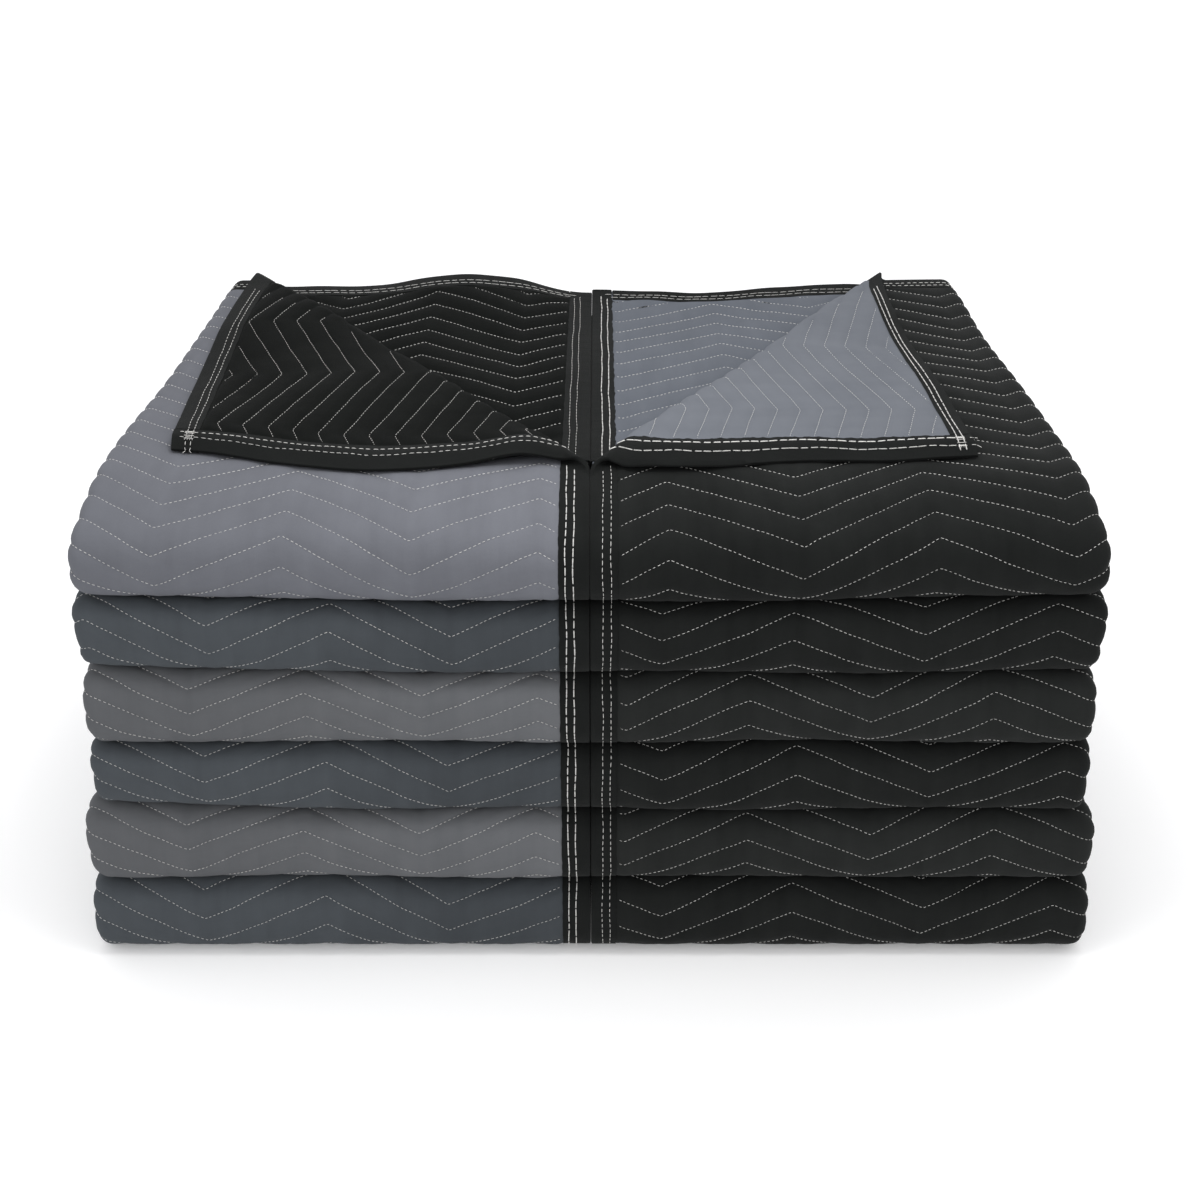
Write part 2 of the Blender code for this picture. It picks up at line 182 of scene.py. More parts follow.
class Blanket:
    """The sizes of one folded blanket, and where a place of its cloth lies in the stack."""

    def __init__(self, side, level):
        self.side = side
        self.sign = side["sign"]
        self.level = level
        self.name = f"{side['name']}_{level + 1}"
        self.is_top = level == LEVELS - 1
        low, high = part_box("blanket_" + self.name)
        self.width = max(abs(low.x), abs(high.x))
        self.base = low.z
        self.taper = TAPERS[level]
        self.tape = side["tape"]
        self.height = TOP_HEIGHT if self.is_top else BASES[level + 1] - BASES[level] - BLANKET_GAP
        self.ply = (self.height - 2.0 * PLY_GAP) / 3.0
        self.sheet = self.ply * SHEET_SHARE
        self.pitch = (self.ply - self.sheet) / 3.0
        self.seam = TOP_SEAM if self.is_top else SEAM
        self.edge = self.seam + TAPE_WALL + EDGE_CLEAR
        self.turn_x = self.width - 1.5 * self.pitch - self.sheet / 2.0
        self.turn_length = 1.5 * self.pitch * math.pi
        self.middle = self.base + self.height - self.sheet / 2.0
        self.lay_path()

    def lay_path(self):
        """The path from back to front over the top, down, back underneath and in."""
        bend = self.ply + BEND_ROOM
        back_bend = self.ply + PLY_GAP / 2.0
        angle = SHOULDER_ANGLE if self.is_top else 0.0
        shoulder = (SHOULDER_RADIUS - bend) * math.sin(angle) + bend
        drop = SHOULDER_RADIUS * (1.0 - math.cos(angle)) + bend * math.cos(angle)
        quarter = math.pi / 2.0
        steps = [(None, DEPTH - shoulder), (SHOULDER_RADIUS, angle), (bend, quarter - angle),
                 (None, self.height - drop - bend), (bend, quarter),
                 (None, DEPTH - bend - back_bend), (back_bend, math.pi),
                 (None, DEPTH - back_bend - shoulder - INNER_END_ROOM)]
        y, z, heading, u = BACK, self.height, math.pi, 0.0
        self.path = []
        for radius, amount in steps:
            self.path.append((u, y, z, heading, radius))
            if radius is None:
                y += math.cos(heading) * amount
                z += math.sin(heading) * amount
                u += amount
            else:
                y -= radius * math.sin(heading)
                z += radius * math.cos(heading)
                heading += amount
                y += radius * math.sin(heading)
                z -= radius * math.cos(heading)
                u += radius * amount
        starts = [step[0] for step in self.path]
        self.front_start, self.front_end = starts[1], starts[5]
        self.back_start, self.back_end = starts[6], starts[7]
        self.length = u

    def profile(self, u, s):
        """Point of the path, seen from the side: u along its outer face, s out of the ply."""
        inset = self.ply - s
        y = np.zeros_like(u)
        z = np.zeros_like(u)
        for start, y0, z0, heading, radius in self.path:
            here = u >= start if start > 0.0 else u > -1.0
            along = u - start
            if radius is None:
                turned = np.full_like(u, heading)
                py = y0 + math.cos(heading) * along
                pz = z0 + math.sin(heading) * along
            else:
                turned = heading + along / radius
                py = y0 + radius * (np.sin(turned) - math.sin(heading))
                pz = z0 - radius * (np.cos(turned) - math.cos(heading))
            y = np.where(here, py - np.sin(turned) * inset, y)
            z = np.where(here, pz + np.cos(turned) * inset, z)
        return y, z

    def level_of(self, sheet):
        """How far out of the ply a sheet's middle lies: 0 is the top sheet, 3 the innermost."""
        return self.ply - self.sheet / 2.0 - sheet * self.pitch

    def place(self, x, u, s):
        """Points of the stack, before the top corner is turned back and the stack settles."""
        y, z = self.profile(u, s)
        narrowed = 1.0 - self.taper * (y - FRONT) / DEPTH
        return np.stack([self.sign * x * narrowed, y, self.base + z], axis=-1)

    def rows_of(self, second):
        """The zigzags of the blanket's own face, or of the second sheet's."""
        return self.side["second"] if second else self.side["zigzag"][self.level]

    def crease(self):
        """The crease's front end, and the ways along it and across it to the corner."""
        front = np.array([0.0, self.side["crease_front"]])
        along = np.array([self.sign * self.side["crease_back"], BACK - self.side["crease_front"]])
        along /= np.linalg.norm(along)
        return front, along, np.array([-along[1], along[0]]) * self.sign

    def zigzag(self, w, second=False):
        """How far a zigzag line has moved along the path at w."""
        apex, first, half, pitch, _, lean = self.rows_of(second)
        t = (w - apex) / half
        cell = np.floor(t)
        share = t - cell
        start = np.where(np.mod(cell, 2.0) == 0.0, first, -first)
        # Each turn lies level with the next row but one
        return pitch * start * (1.0 - 2.0 * share) + lean * (w - LEAN_MIDDLE)

    def relief(self, w, u, second=False):
        """How far the quilting presses the face in, or lets it swell, at a place."""
        pitch, first = self.rows_of(second)[3:5]
        q = (u - self.zigzag(w, second) - first) / pitch
        t = np.abs(q - np.round(q)) * 2.0
        return QUILT_PUFF - (QUILT_DEPTH + QUILT_PUFF) * (1.0 - t) ** 2.2

    def half(self, w, u):
        """Half of the sheet's thickness, which the tape squeezes at the bound edges."""
        near = np.minimum(np.abs(w), u)
        share = smooth((near - self.tape + 0.003) / BOUND_FADE)
        return BOUND_HALF + (self.sheet / 2.0 - BOUND_HALF) * share

    def outer(self, w):
        """Across the sheet from the top one on: x, s and the outward direction there."""
        turned = np.clip((w - self.turn_x) / self.turn_length, 0.0, 1.0) * math.pi
        radius = 1.5 * self.pitch
        over = np.maximum(w - self.turn_x - self.turn_length, 0.0)
        x = np.minimum(w, self.turn_x) + radius * np.sin(turned) - over
        s = self.level_of(1.5) + radius * np.cos(turned)
        return x, s, np.sin(turned), np.cos(turned)

    def beyond_crease(self, x, y):
        """How far a place of the top lies beyond the turned corner's crease."""
        run, rise = self.side["crease_back"], BACK - self.side["crease_front"]
        return ((y - self.side["crease_front"]) * run - x * rise) / math.hypot(run, rise)

    def under_flap(self, x, y):
        """True where the turned corner covers the top sheet."""
        reach_x, reach_y = self.side["corner"]
        front = self.side["crease_front"]
        edge_y = front + (reach_y - front) * x / reach_x + 0.012
        side_x = reach_x - 0.014 - 0.05 * (y - reach_y) / (BACK - reach_y)
        return (y > edge_y) & (x < side_x)


def turned_back(points, blanket):
    """Folds what lies beyond the crease over onto the top, with the turned corner's waves."""
    side = blanket.side
    sign = side["sign"]
    crease_front, along, across = blanket.crease()
    bend = FOLD_RADIUS * math.pi
    corner = np.array([0.0, BACK]) - crease_front
    plain = np.array([corner @ along, bend - corner @ across])
    laid = np.array([sign * side["corner"][0], side["corner"][1]]) - crease_front
    laid = np.array([laid @ along, laid @ across])
    stretch = laid[1] / plain[1]
    shear = (laid[0] - plain[0]) / laid[1]

    offset = points[:, :2] - crease_front
    beyond = offset @ across
    moves = (beyond > 0.0) & (points[:, 2] > blanket.middle - blanket.pitch / 2.0)
    forward = offset @ along
    height = points[:, 2] - blanket.middle
    angle = np.clip(beyond / bend, 0.0, 1.0) * math.pi
    rest = np.minimum(bend - beyond, 0.0) * stretch
    reach = (FOLD_RADIUS - height) * np.sin(angle) + rest
    rise = FOLD_RADIUS - (FOLD_RADIUS - height) * np.cos(angle)
    rise -= 2.0 * (FOLD_RADIUS - LAID_RADIUS) * smooth(-rest / LAID_REACH)
    forward = forward + shear * rest
    place = crease_front + forward[:, None] * along + reach[:, None] * across
    wave_x, wave_y, wave_z = flap_waves(np.abs(points[:, 0]), points[:, 1], blanket)
    weight = smooth((beyond - bend * 0.4) / 0.03)
    hang = np.maximum(HANG_REACH - np.abs(points[:, 0]), 0.0)
    bent = np.minimum(hang / HANG_RADIUS, HANG_ANGLE)
    straight = hang - HANG_RADIUS * bent
    back = (hang - HANG_RADIUS * np.sin(bent) - straight * math.cos(HANG_ANGLE)
            + height * np.sin(bent))
    down = (HANG_RADIUS * (1.0 - np.cos(bent)) + straight * math.sin(HANG_ANGLE)
            - height * (1.0 - np.cos(bent)))
    new = np.stack([place[:, 0] + sign * wave_x * weight,
                    place[:, 1] + (wave_y + back) * weight,
                    blanket.middle + rise + (wave_z - down) * weight], axis=1)
    return np.where(moves[:, None], new, points)


def flap_waves(x, y, blanket):
    """How the turned corner strays from a flat fold. x and y are from before it is folded."""
    along_front = y - blanket.side["crease_front"]
    along_side = x
    at_front = np.exp(-x / 0.060)
    at_side = np.exp(-(BACK - y) / 0.120)
    if blanket.sign < 0.0:
        out = 0.012 * np.sin(math.pi * np.clip(along_side / 0.42, 0.0, 1.0)) * at_side
        forward = -0.036 * hump((along_front - 0.29) / 0.24) * np.exp(-x / 0.15)
        lift = 0.0065 * at_front * smooth((along_front - 0.01) / 0.10)
        lift += 0.0050 * hump((along_front - 0.105) / 0.070) * at_front
    else:
        out = 0.004 * np.sin(2.0 * math.pi * np.clip(along_side / 0.38, 0.0, 1.0)) * at_side
        out -= 0.008 * np.sin(math.pi * np.clip(along_side / 0.38, 0.0, 1.0)) * at_side
        forward = -0.024 * hump((along_front - 0.13) / 0.21) * np.exp(-x / 0.12)
        lift = 0.0060 * at_front * smooth((along_front - 0.01) / 0.10)
    lift = lift + 0.0011 * ripple(x * 21.0 + y * 13.0, 5.0)
    return out, forward, lift


def second_waves(points, blanket, own=1.0):
    """The bare second sheet's back edge: drawn in at the seam, and humped in the left one."""
    x, y = np.abs(points[:, 0]), points[:, 1]
    at_back = np.exp(-(BACK - y) / 0.085)
    bare = own * smooth((blanket.beyond_crease(x, y) + 0.01) / 0.06)
    if blanket.sign < 0.0:
        lift = 0.0180 * hump((x - 0.155) / 0.150) * np.exp(-(BACK - y) / 0.14)
        drawn = 0.020 * smooth(1.0 - x / 0.10)
    else:
        lift = 0.0045 * np.exp(-(BACK - y) / 0.022) - 0.0010 * smooth(1.0 - x / 0.30)
        drawn = 0.020 * smooth(1.0 - x / 0.34) + 0.018 * hump((x - 0.141) / 0.13)
    lift = lift + 0.0010 * ripple(x * 24.0 - y * 17.0, 2.0) * smooth(x / 0.04)
    moved = points.copy()
    moved[:, 1] -= drawn * at_back * bare
    moved[:, 2] += lift * bare
    return moved


def on_face(blanket, face, w, u, lift=0.0):
    """Points of the finished cloth. face is outer, under (the top sheet's) or second."""
    if face == "second":
        rise = blanket.half(w, u) + blanket.relief(w, u, True) + lift
        points = second_waves(blanket.place(w, u, blanket.level_of(1) + rise), blanket)
    else:
        x, s, nx, ns = blanket.outer(w)
        way = 1.0 if face == "outer" else -1.0
        rise = way * (blanket.half(w, u) + blanket.relief(w, u) + lift)
        points = blanket.place(x + nx * rise, u, s + ns * rise)
        if blanket.is_top:
            points = turned_back(points, blanket)
    return settle(points)


# Pads

def station(x, s, nx, ns, w, part, left=True, right=True):
    """One place of the section, with its outward direction and the sides that have a column."""
    return {"x": x, "s": s, "nx": nx, "ns": ns, "w": w, "part": part,
            "left": left, "right": right}


def flat_places(blanket, second):
    """The x places across a sheet that has a bound edge, with one at each zigzag's turn."""
    apex, _, half = blanket.rows_of(second)[:3]
    step = half / COLUMNS_A_WAVE
    count = math.ceil((blanket.turn_x - apex) / step) + 1
    start = -math.floor((apex - blanket.tape) / step) - 1
    bound = HANG_PLACES if blanket.is_top else HANG_PLACES[::2]
    places = [blanket.edge, *bound, blanket.tape - 0.002, blanket.tape + 0.002]
    for number in range(start, count):
        x = apex + number * step
        if blanket.tape + 0.004 < x < blanket.turn_x - 0.003:
            places.append(x)
    return places + [blanket.turn_x]


def section(blanket):
    """The four sheets as one back-and-forth line, from the top sheet's bound edge inwards."""
    stations = []
    places = flat_places(blanket, False)
    for number, x in enumerate(places):
        end = number in (0, len(places) - 1)
        right = blanket.is_top or end or number % 7 == 0
        stations.append(station(x, blanket.level_of(0), 0.0, 1.0, x, "top", right=right))
    turn_steps = 12
    for step in range(1, turn_steps + 1):
        w = blanket.turn_x + blanket.turn_length * step / turn_steps
        x, s, nx, ns = (float(value) for value in blanket.outer(np.array(w)))
        stations.append(station(x, s, nx, ns, w, "turn"))
    after = blanket.turn_x + blanket.turn_length
    seam_turn = blanket.seam + blanket.pitch / 2.0 + blanket.sheet / 2.0
    for share in (0.3, 0.65):
        x = blanket.turn_x + (seam_turn - blanket.turn_x) * share
        stations.append(station(x, blanket.level_of(3), 0.0, -1.0, after, "hidden"))
    for step in range(5):
        angle = -math.pi / 2.0 - math.pi * step / 4.0
        nx, ns = math.cos(angle), math.sin(angle)
        stations.append(station(seam_turn + nx * blanket.pitch / 2.0,
                                blanket.level_of(2.5) + ns * blanket.pitch / 2.0,
                                nx, ns, after, "hidden"))
    for share in (0.35, 0.7):
        x = seam_turn + (blanket.turn_x - seam_turn) * share
        stations.append(station(x, blanket.level_of(2), 0.0, 1.0, after, "hidden"))
    for step in range(6):
        angle = -math.pi / 2.0 + math.pi * step / 5.0
        nx, ns = math.cos(angle), math.sin(angle)
        stations.append(station(blanket.turn_x + nx * blanket.pitch / 2.0,
                                blanket.level_of(1.5) + ns * blanket.pitch / 2.0,
                                -nx, -ns, after, "hidden"))
    places = list(reversed(flat_places(blanket, True)))[1:]
    for number, x in enumerate(places):
        end = number == len(places) - 1
        if not (blanket.is_top or end or number % 20 == 10):
            continue
        left = end or number % 10 == 5 or not blanket.is_top
        part = "second" if blanket.is_top else "hidden"
        stations.append(station(x, blanket.level_of(1), 0.0, -1.0, x, part, left=left))
    return stations


def path_rows(blanket):
    """Places along the path, close together about each stitched row, and which sheet's they are."""
    rows = [(0.0, 0), (blanket.length, 0)]
    kinds = [(0, blanket.side["zigzag"][blanket.level], blanket.length)]
    if blanket.is_top:
        kinds.append((1, blanket.side["second"], blanket.front_start))
    for kind, found, end in kinds:
        pitch, first = found[3:5]
        for number in range(-1, math.ceil(end / pitch) + 1):
            for share in ROW_SHARES:
                v = first + (number + share) * pitch
                if 0.004 < v < min(end, blanket.length - 0.004):
                    rows.append((v, kind))
    if blanket.is_top:
        # Near the back edge the rows of points cross the stitched ones
        rows.extend((v, 2) for v in np.arange(0.006, WAVE_FADE + 0.012, 0.0018))
    rows.sort()
    kept = [rows[0]]
    for v, kind in rows[1:]:
        if v - kept[-1][0] > 0.00012:
            kept.append((v, kind))
    return np.array([v for v, kind in kept]), np.array([kind for v, kind in kept])


def coarse_rows(blanket, rows):
    """Which rows every column has: some in the flats, more round the bends."""
    kept = np.zeros(len(rows), bool)
    last = -1.0
    for number, v in enumerate(rows):
        in_front = blanket.front_start - BEND_SLACK < v < blanket.front_end + BEND_SLACK
        in_back = blanket.back_start - BEND_SLACK < v < blanket.back_end + BEND_SLACK
        space = 0.0062 if in_front or in_back else 0.11
        if v - last >= space or number in (0, len(rows) - 1):
            kept[number] = True
            last = v
    return kept


def pad_mesh(blanket):
    """The whole folded pad as one closed mesh, with its cloth coordinates."""
    stations = section(blanket)
    rows, kinds = path_rows(blanket)
    coarse = coarse_rows(blanket, rows)
    of_top, of_second = kinds != 1, kinds != 0
    fade = smooth(rows / WAVE_FADE) * smooth((blanket.length - rows) / WAVE_FADE)
    columns = []
    for way, name in ((1.0, "left"), (-1.0, "right")):
        order = stations if way > 0.0 else list(reversed(stations))
        for found in order:
            if found[name]:
                columns.append((found, way))

    points, coords, keeps = [], [], []
    for found, way in columns:
        second = found["part"] == "second"
        w = np.full_like(rows, found["w"])
        moving = 0.0 if found["part"] == "hidden" else 1.0
        u = rows + moving * fade * blanket.zigzag(w, second)
        y = BACK - u
        x = found["x"]
        beyond = blanket.beyond_crease(x, y)
        on_top = blanket.is_top & (u < blanket.front_start)
        keep = coarse.copy()
        pressed = np.zeros_like(rows)
        half = blanket.half(w if found["part"] in ("top", "second") else 1.0, u)
        if found["part"] == "turn" and way > 0.0:
            keep |= of_top
            pressed = blanket.relief(w, u)
        elif found["part"] == "top" and way > 0.0:
            front = (u > blanket.front_start - 0.03) & (u < blanket.front_end + 0.03)
            back = (u > blanket.back_start - 0.02) & (u < blanket.back_end + 0.02)
            shown = front | back | on_top
            keep |= shown & of_top
            pressed = np.where(shown, blanket.relief(w, u), 0.0)
        elif found["part"] == "top" and blanket.is_top:
            shown = on_top & (beyond > -0.01)
            keep |= shown & of_top
            pressed = np.where(shown, blanket.relief(w, u), 0.0)
        elif second and way < 0.0:
            shown = on_top & (beyond > -0.045)
            keep |= shown & of_second
            pressed = np.where(shown, blanket.relief(w, u, True), 0.0)
        bound = np.clip((half - BOUND_HALF) / (blanket.sheet / 2.0 - BOUND_HALF), 0.0, 1.0)
        rise = way * (half + pressed * bound)
        place = blanket.place(x + found["nx"] * rise, u, found["s"] + found["ns"] * rise)
        points.append(place)
        coords.append(np.stack([w, u], axis=1))
        keeps.append(keep)
    return meshed(columns, stations, points, coords, keeps)


def meshed(columns, stations, points, coords, keeps):
    """Joins columns of points into faces, also where one column has more rows than the next."""
    tables, start = [], 0
    for keep in keeps:
        table = np.full(len(keep), -1)
        table[keep] = start + np.arange(keep.sum())
        start += int(keep.sum())
        tables.append(table)
    verts = np.concatenate([p[k] for p, k in zip(points, keeps)])
    uv = np.concatenate([c[k] for c, k in zip(coords, keeps)])
    faces, sides = [], []
    count = len(columns)
    for number in range(count):
        after = (number + 1) % count
        near, far = tables[number], tables[after]
        shared = np.nonzero(keeps[number] & keeps[after])[0]
        second = columns[number][0]["part"] == "second"
        # Slot 2 is the second sheet's reverse, which on the right is a darker grey painted as shade
        # from the turned corner
        side = 0 if columns[number][1] > 0.0 else 2 if second else 1
        for low, high in zip(shared[:-1], shared[1:]):
            if high == low + 1:
                faces.append((near[low], far[low], far[high], near[high]))
            else:
                between = far[low + 1:high]
                back = near[low + 1:high][::-1]
                faces.append((near[low], far[low], *between[between >= 0], far[high],
                              near[high], *back[back >= 0]))
            sides.append(side)

    # The flat ends, one face between each two stations that have both sides
    index = {(id(found), way): number for number, (found, way) in enumerate(columns)}
    for row, flip in ((0, False), (-1, True)):
        top, bottom = [], []
        for found in stations:
            if found["left"]:
                top.append(tables[index[(id(found), 1.0)]][row])
            if found["right"]:
                bottom.append(tables[index[(id(found), -1.0)]][row])
            if found["left"] and found["right"]:
                if len(top) > 1 or len(bottom) > 1:
                    loop = top + bottom[::-1]
                    faces.append(tuple(loop if flip else loop[::-1]))
                    sides.append(0)
                top, bottom = top[-1:], bottom[-1:]
    return verts, uv, [tuple(int(i) for i in face) for face in faces], sides


def cut_for_crease(mesh, blanket):
    """Cuts a mesh along the lines that its corner's crease will bend on."""
    bm = bmesh.new()
    bm.from_mesh(mesh)
    front, _, across = blanket.crease()
    lowest = blanket.middle - blanket.pitch / 2.0
    for step in range(9):
        start = front + across * (FOLD_RADIUS * math.pi * step / 8.0)
        faces = [face for face in bm.faces if all(vert.co.z > lowest for vert in face.verts)]
        edges = {edge for face in faces for edge in face.edges}
        verts = {vert for face in faces for vert in face.verts}
        bmesh.ops.bisect_plane(bm, geom=faces + list(edges) + list(verts), dist=1e-6,
                               plane_co=(start[0], start[1], 0.0),
                               plane_no=(across[0], across[1], 0.0))
    bm.to_mesh(mesh)
    bm.free()


def unfolded_mesh(name, verts, uv, faces):
    """A mesh with its cloth coordinates, before its corner is turned back and it settles."""
    mesh = bpy.data.meshes.new(name)
    mesh.from_pydata(verts.tolist(), [], faces)
    mesh.update()
    layer = mesh.uv_layers.new(name="cloth")
    loops = np.zeros(len(mesh.loops), dtype=np.int32)
    mesh.loops.foreach_get("vertex_index", loops)
    layer.data.foreach_set("uv", uv[loops].ravel())
    return mesh


def finish_mesh(mesh, blanket):
    """Turns the corner back, settles the points and faces the mesh outwards."""
    if blanket.is_top:
        cut_for_crease(mesh, blanket)
    points = np.zeros(len(mesh.vertices) * 3)
    mesh.vertices.foreach_get("co", points)
    points = points.reshape(-1, 3)
    if blanket.is_top:
        # The second sheet's own points, told by how deep they lay before the fold
        sheets_down = (blanket.middle - points[:, 2]) / blanket.pitch
        own = (sheets_down > 0.5) & (sheets_down < 1.5)
        points = second_waves(turned_back(points, blanket), blanket, own)
    mesh.vertices.foreach_set("co", settle(points).ravel())
    bm = bmesh.new()
    bm.from_mesh(mesh)
    bmesh.ops.recalc_face_normals(bm, faces=bm.faces)
    if bm.calc_volume(signed=True) < 0.0:
        bmesh.ops.reverse_faces(bm, faces=bm.faces)
    bm.to_mesh(mesh)
    bm.free()
    mesh.shade_smooth()


def add_piece(name, mesh, materials):
    """Puts a mesh in the scene as a piece that rides on the part."""
    for made in materials:
        mesh.materials.append(made)
    piece = bpy.data.objects.new(name, mesh)
    bpy.context.scene.collection.objects.link(piece)
    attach(piece, "root")
    return piece


def make_pad(blanket, faces_of):
    """One blanket's quilted pad."""
    verts, uv, faces, sides = pad_mesh(blanket)
    name = "pad_" + blanket.name
    mesh = unfolded_mesh(name, verts, uv, faces)
    mesh.polygons.foreach_set("material_index", np.array(sides, dtype=np.int32))
    finish_mesh(mesh, blanket)
    return add_piece(name, mesh, faces_of)


# Binding tape

def tube(rings, coords):
    """A closed body from equal rings of points."""
    count = len(rings[0])
    verts = np.concatenate(rings)
    faces = []
    for number in range(len(rings) - 1):
        near, far = number * count, (number + 1) * count
        for index in range(count):
            after = (index + 1) % count
            faces.append((near + index, near + after, far + after, far + index))
    faces.append(tuple(range(count))[::-1])
    faces.append(tuple(range((len(rings) - 1) * count, len(rings) * count)))
    return verts, np.concatenate(coords), faces


def tape_outline(edge, width, over, under, wall=TAPE_WALL):
    """The folded tape's section: distance in from the sheet's edge, and height off its middle."""
    round_over = edge + 0.0009
    inside = edge + TAPE_WALL
    puff = 0.00015
    outer = [(width, over)]
    outer += [(place, over + puff) for place in HANG_PLACES[::-1]]
    outer += [(round_over, over), (edge, over * 0.45), (edge, -under * 0.45), (round_over, -under)]
    outer += [(place, -under - puff) for place in HANG_PLACES]
    outer += [(width, -under)]
    inner = [(width, -under + wall)]
    inner += [(place, -under + wall) for place in HANG_PLACES[::-1]]
    inner += [(inside, -under + wall), (inside, over - wall)]
    inner += [(place, over - wall) for place in HANG_PLACES]
    inner += [(width, over - wall)]
    return outer + inner


def make_tape(name, blanket, rings, coords):
    """One piece of tape from its rings."""
    mesh = unfolded_mesh(name, *tube(rings, coords))
    finish_mesh(mesh, blanket)
    mesh.set_sharp_from_angle(angle=math.radians(50.0))
    return add_piece(name, mesh, [TAPE_CLOTH])


def side_tape(blanket, second, seed):
    """The tape on a sheet's edge along the seam."""
    reach = BOUND_HALF + TAPE_CLEAR + TAPE_WALL
    last = blanket.front_start - 0.03 if second else blanket.length
    places = [0.0]
    while places[-1] < last:
        u = places[-1]
        fine = blanket.is_top and u < blanket.front_end + 0.03
        fine = fine or blanket.front_start - 0.03 < u < blanket.front_end + 0.03
        bend = blanket.back_start - 0.01 < u < blanket.back_end + 0.01
        places.append(min(last, u + (0.0035 if fine else 0.006 if bend else 0.060)))
    # Its end is closed over the sheet's corner
    places = [-EDGE_CLEAR, -EDGE_CLEAR / 2.0] + places
    rings, coords = [], []
    level = blanket.level_of(1 if second else 0)
    for u in places:
        wide = 2.5 if blanket.sign > 0.0 and blanket.is_top else 1.0
        ragged = 0.0003 * ripple(u * 130.0, seed) + 0.0002 * ripple(u * 410.0, seed + 1.0)
        pucker = 0.00018 * math.sin(u * 900.0 + seed) + 0.00012 * float(ripple(u * 300.0, seed))
        wall = reach - 0.0002 if u <= -EDGE_CLEAR else TAPE_WALL
        outline = tape_outline(blanket.seam, blanket.tape + float(ragged) * wide,
                               reach + pucker, reach, wall)
        x = np.array([point[0] for point in outline])
        s = np.array([level + point[1] for point in outline])
        ring = blanket.place(x, np.full_like(x, u), s)
        rings.append(ring)
        coords.append(np.stack([x, np.full_like(x, u)], axis=1))
    label = "inner_edging_" if second else "edging_"
    return make_tape(label + blanket.name, blanket, rings, coords)


def end_tape(blanket, seed):
    """The tape on the back edge of all four sheets, which it follows back and forth."""
    reach = BOUND_HALF + TAPE_CLEAR + TAPE_WALL
    rings, coords = [], []
    along = 0.0
    last = None
    stations = [found for found in section(blanket)
                if not (found["part"] in ("top", "second", "hidden")
                        and found["x"] < blanket.tape + 0.0015 and found["w"] < blanket.turn_x)]
    # Both ends meet the side tapes
    start = blanket.tape + 0.0010
    stations.insert(0, station(start, blanket.level_of(0), 0.0, 1.0, start, "top"))
    stations.append(station(start, blanket.level_of(1), 0.0, -1.0, start, "second"))
    for number, found in enumerate(stations):
        if number and not blanket.is_top and found["part"] == "top" and not found["right"]:
            continue
        here = (found["x"], found["s"])
        along += 0.0 if last is None else math.dist(here, last)
        last = here
        ragged = 0.0006 * float(ripple(along * 130.0, seed))
        outline = tape_outline(-EDGE_CLEAR, blanket.tape + ragged, reach, reach)
        u = np.array([point[0] for point in outline])
        h = np.array([point[1] for point in outline])
        ring = blanket.place(found["x"] + found["nx"] * h, u, found["s"] + found["ns"] * h)
        rings.append(ring)
        coords.append(np.stack([np.full_like(u, along), u], axis=1))
    return make_tape("end_edging_" + blanket.name, blanket, rings, coords)


# Stitches

class Thread:
    """Gathers the stitches of one blanket."""

    def __init__(self):
        self.verts = []
        self.faces = []
        self.count = 0

    def add(self, start, end, up, radius):
        """Stitches from start to end, proud of the cloth in the middle, sunk at the ends."""
        run = end - start
        length = np.linalg.norm(run, axis=1, keepdims=True)
        run = run / np.maximum(length, 1e-6)
        up = up - run * np.sum(up * run, axis=1, keepdims=True)
        up /= np.maximum(np.linalg.norm(up, axis=1, keepdims=True), 1e-6)
        across = np.cross(run, up)
        shoulder = np.minimum(length * 0.2, 0.0011)
        rings = [start - up * radius * 0.8]
        for middle in (start + run * shoulder, end - run * shoulder):
            raised = middle + up * radius * 0.35
            for way in (up * 0.9, across - up * 0.6, -across - up * 0.6):
                rings.append(raised + way * radius)
        rings.append(end - up * radius * 0.8)
        count = len(start)
        self.verts.append(np.stack(rings, axis=1).reshape(-1, 3))
        faces = []
        for index in range(3):
            after = (index + 1) % 3
            faces.append((0, 1 + after, 1 + index))
            faces.append((7, 4 + index, 4 + after))
            faces.append((1 + index, 1 + after, 4 + after, 4 + index))
        base = self.count + 8 * np.arange(count)[:, None]
        for face in faces:
            self.faces.extend(map(tuple, (base + np.array(face)[None, :]).tolist()))
        self.count += 8 * count

    def sew(self, points, ups, kind, seed):
        """Stitches along a line of points."""
        steps = np.linalg.norm(np.diff(points, axis=0), axis=1)
        run = np.concatenate([[0.0], np.cumsum(steps)])
        count = int((run[-1] - kind["length"]) / kind["period"])
        if count < 1:
            return
        random = np.random.default_rng(seed)
        start = (np.arange(count) + random.uniform(-0.06, 0.06, count)) * kind["period"]
        start = np.clip(start + kind["period"] * 0.5, 0.0, None)
        length = kind["length"] * random.uniform(0.86, 1.08, count)
        ends = []
        for place in (start, start + length):
            ends.append(np.stack([np.interp(place, run, points[:, axis])
                                  for axis in range(3)], axis=1))
        up = np.stack([np.interp(start + length / 2.0, run, ups[:, axis])
                       for axis in range(3)], axis=1)
        self.add(ends[0], ends[1], up, kind["radius"])

    def loose(self, points, radius):
        """A loose end of thread through a few points."""
        points = np.array(points, float)
        ups = np.tile(np.array([[0.0, 0.0, 1.0]]), (len(points) - 1, 1))
        self.add(points[:-1], points[1:], ups, radius)


def runs_of(shown):
    """The stretches of a line that are shown."""
    edges = np.flatnonzero(np.diff(np.concatenate([[0], shown.astype(int), [0]])))
    return [(a, b) for a, b in zip(edges[::2], edges[1::2]) if b - a > 3]


